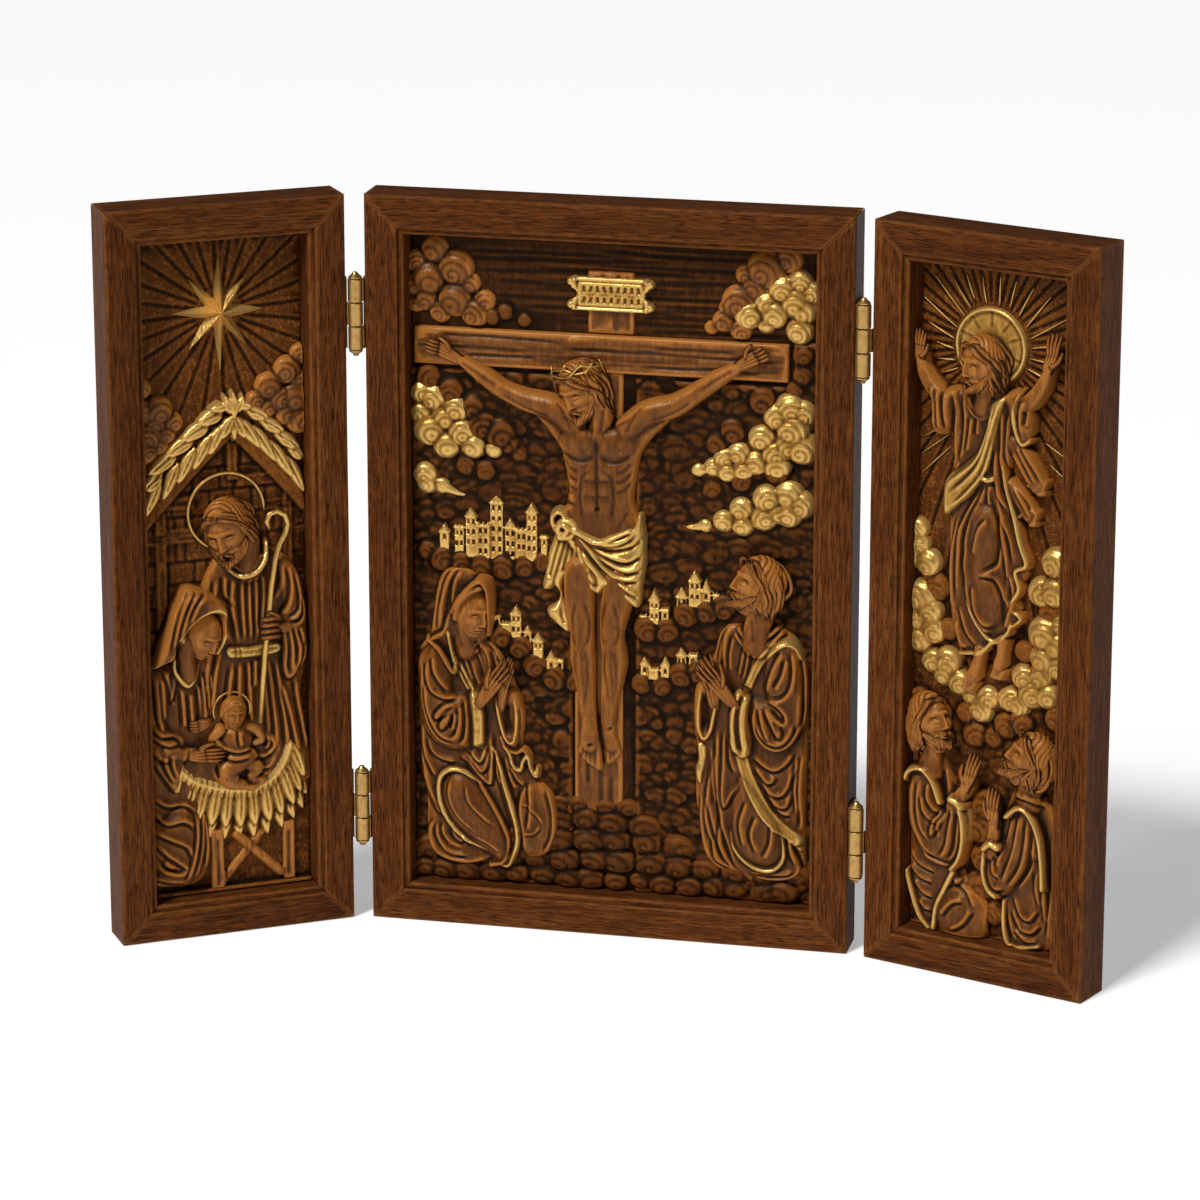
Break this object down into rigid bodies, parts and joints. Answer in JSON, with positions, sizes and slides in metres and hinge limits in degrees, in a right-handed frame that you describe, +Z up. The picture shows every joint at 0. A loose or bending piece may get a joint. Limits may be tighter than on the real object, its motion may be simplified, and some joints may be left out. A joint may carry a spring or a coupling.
{
  "type": "triptych altarpiece",
  "caption": "Tabletop triptych altarpiece: a carved centre panel and hinged carved wings in deep mitred wooden frames, with gilded details.",
  "frame": {"origin": "middle of the underside of the centre frame, at half its depth", "axes": "+Z up, +X to the right of a person who faces the carving, so the carved faces look along -Y"},
  "size_m": [0.399, 0.0759, 0.3],
  "materials": {
    "frame_wood": "dark walnut stain over open-grained wood, waxed, the edges rubbed lighter",
    "carved_wood": "dark brown stain, near black in the recesses and rubbed back to red-brown on the high parts, satin",
    "gilding": "antique gold leaf, darkened in the recesses and bright on the edges",
    "hinge_brass": "polished brass"
  },
  "bodies": {
    "centre": {"centre_left_stile": "frame_wood", "centre_top_rail": "frame_wood", "centre_right_stile": "frame_wood", "centre_bottom_rail": "frame_wood", "centre_relief": "carved_wood", "left_lower_hinge_centre_leaf": "hinge_brass", "left_lower_hinge_pin": "hinge_brass", "left_upper_hinge_centre_leaf": "hinge_brass", "left_upper_hinge_pin": "hinge_brass", "right_lower_hinge_centre_leaf": "hinge_brass", "right_lower_hinge_pin": "hinge_brass", "right_upper_hinge_centre_leaf": "hinge_brass", "right_upper_hinge_pin": "hinge_brass"},
    "left_wing": {"left_wing_left_stile": "frame_wood", "left_wing_top_rail": "frame_wood", "left_wing_right_stile": "frame_wood", "left_wing_bottom_rail": "frame_wood", "left_wing_relief": "carved_wood", "left_lower_hinge_wing_leaf": "hinge_brass", "left_upper_hinge_wing_leaf": "hinge_brass"},
    "right_wing": {"right_wing_left_stile": "frame_wood", "right_wing_top_rail": "frame_wood", "right_wing_right_stile": "frame_wood", "right_wing_bottom_rail": "frame_wood", "right_wing_relief": "carved_wood", "right_lower_hinge_wing_leaf": "hinge_brass", "right_upper_hinge_wing_leaf": "hinge_brass"}
  },
  "joints": [
    {"name": "left_wing_swing", "type": "hinge", "parent": "centre", "child": "left_wing", "pos_m": [-0.1015, -0.0105, 0], "axis": [0, 0, 1], "range_deg": [-46, 146]},
    {"name": "right_wing_swing", "type": "hinge", "parent": "centre", "child": "right_wing", "pos_m": [0.1015, -0.0105, 0], "axis": [0, 0, -1], "range_deg": [-32, 160]}
  ]
}
